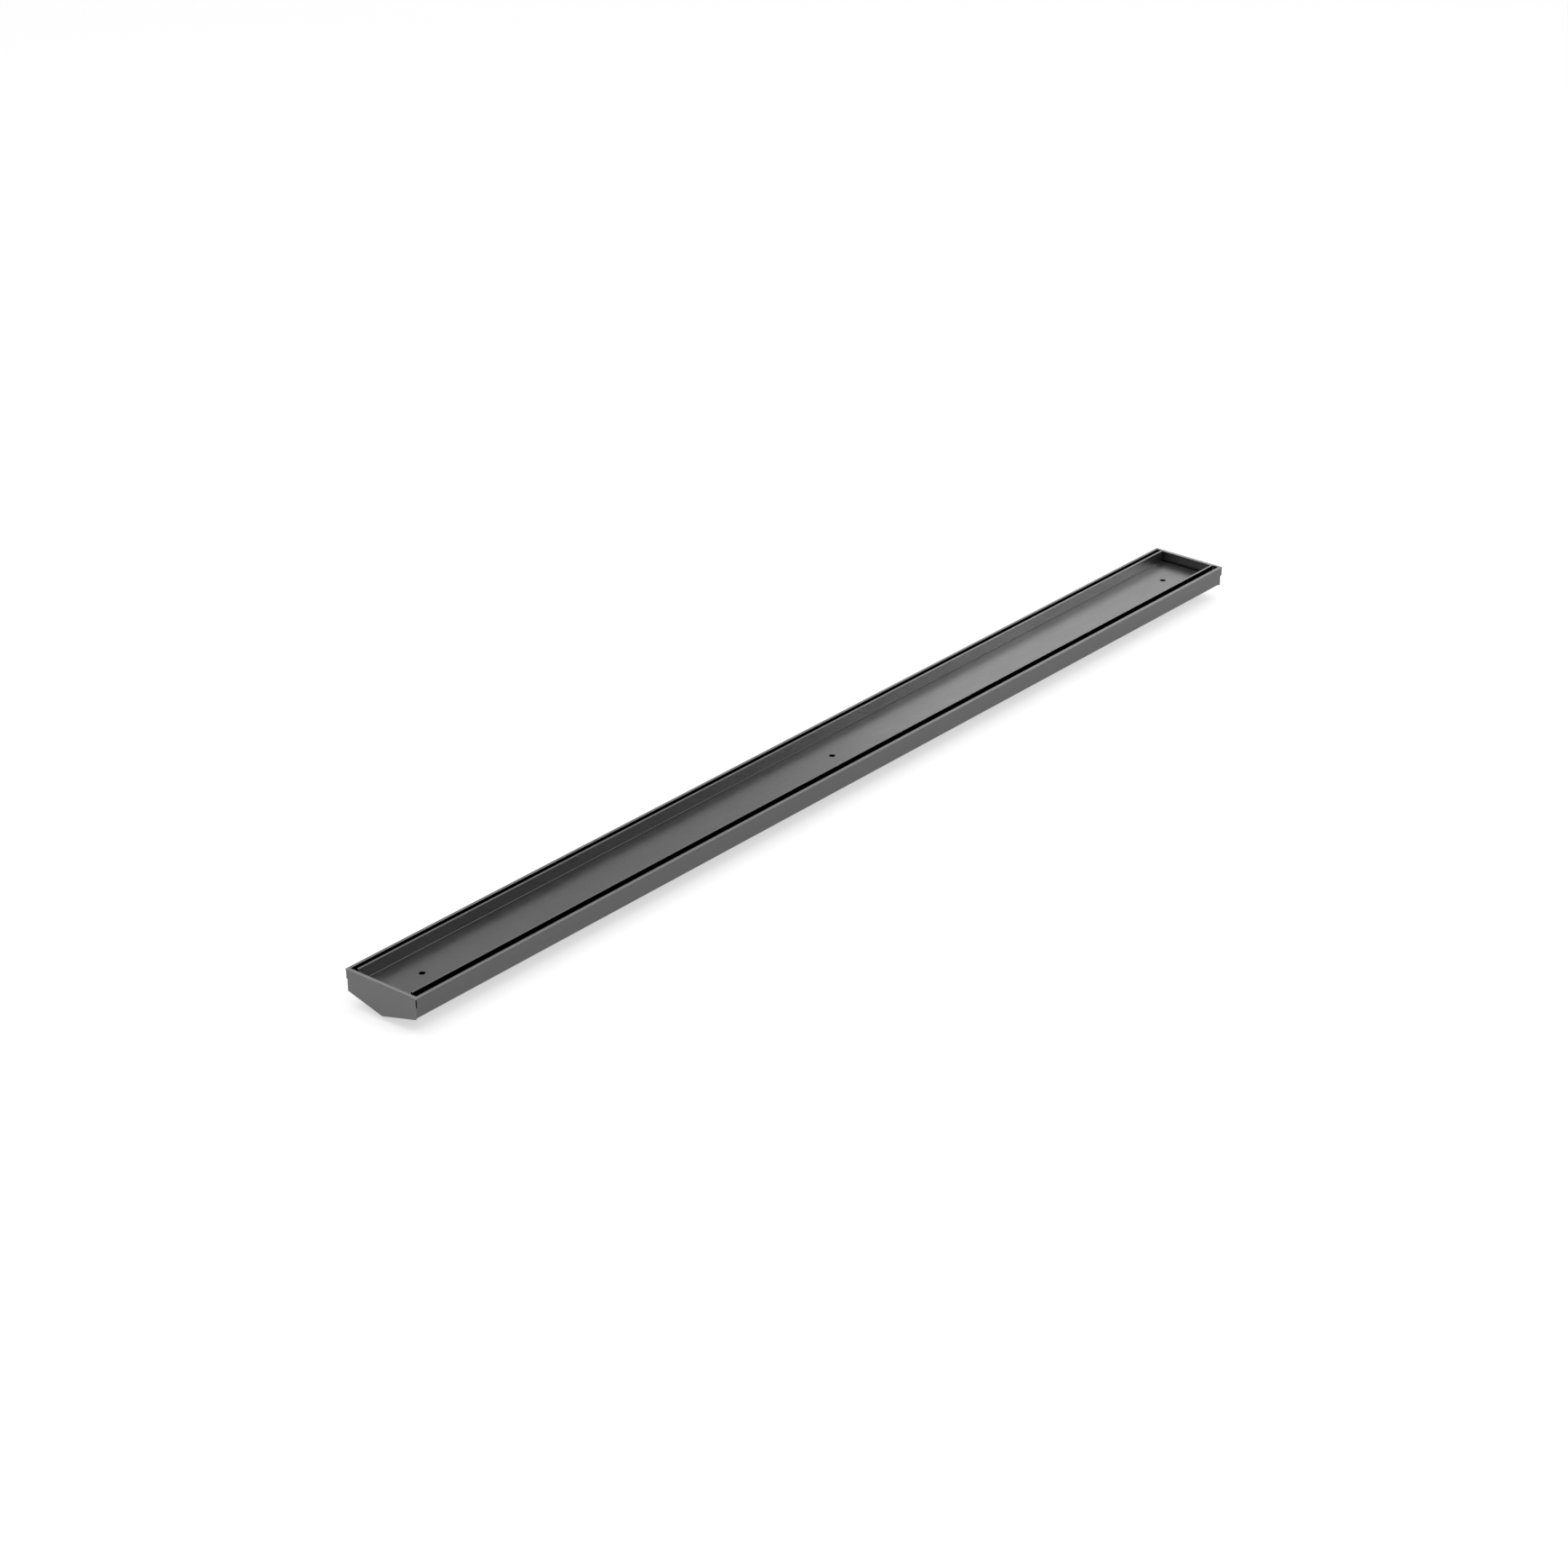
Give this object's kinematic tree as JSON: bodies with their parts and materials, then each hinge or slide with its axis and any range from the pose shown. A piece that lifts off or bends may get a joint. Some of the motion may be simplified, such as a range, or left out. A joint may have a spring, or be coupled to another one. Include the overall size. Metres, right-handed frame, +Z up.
{
  "type": "channel drain",
  "caption": "Long shallow drain trough with a V bottom, a turned-down rim, a tray that takes a floor tile, a drainage slot along each long side and a short outlet collar.",
  "frame": {"origin": "centre of the outlet collar's lower edge, which is the lowest point of the drain, midway along its length and width", "axes": "+X along the drain, +Y across it, +Z up towards the finished floor"},
  "size_m": [1, 0.069, 0.0303],
  "materials": {
    "channel_steel": "brushed stainless steel with a dark satin finish",
    "tray_steel": "brushed stainless steel with a dark satin finish",
    "support_steel": "plain milled stainless steel",
    "outlet_steel": "plain milled stainless steel"
  },
  "bodies": {
    "root": {"channel_body": "channel_steel", "left_end_plate": "channel_steel", "outlet_collar": "outlet_steel", "right_end_plate": "channel_steel", "tile_tray": "tray_steel", "tray_support_1": "support_steel", "tray_support_2": "support_steel", "tray_support_3": "support_steel", "tray_support_4": "support_steel"}
  },
  "joints": []
}
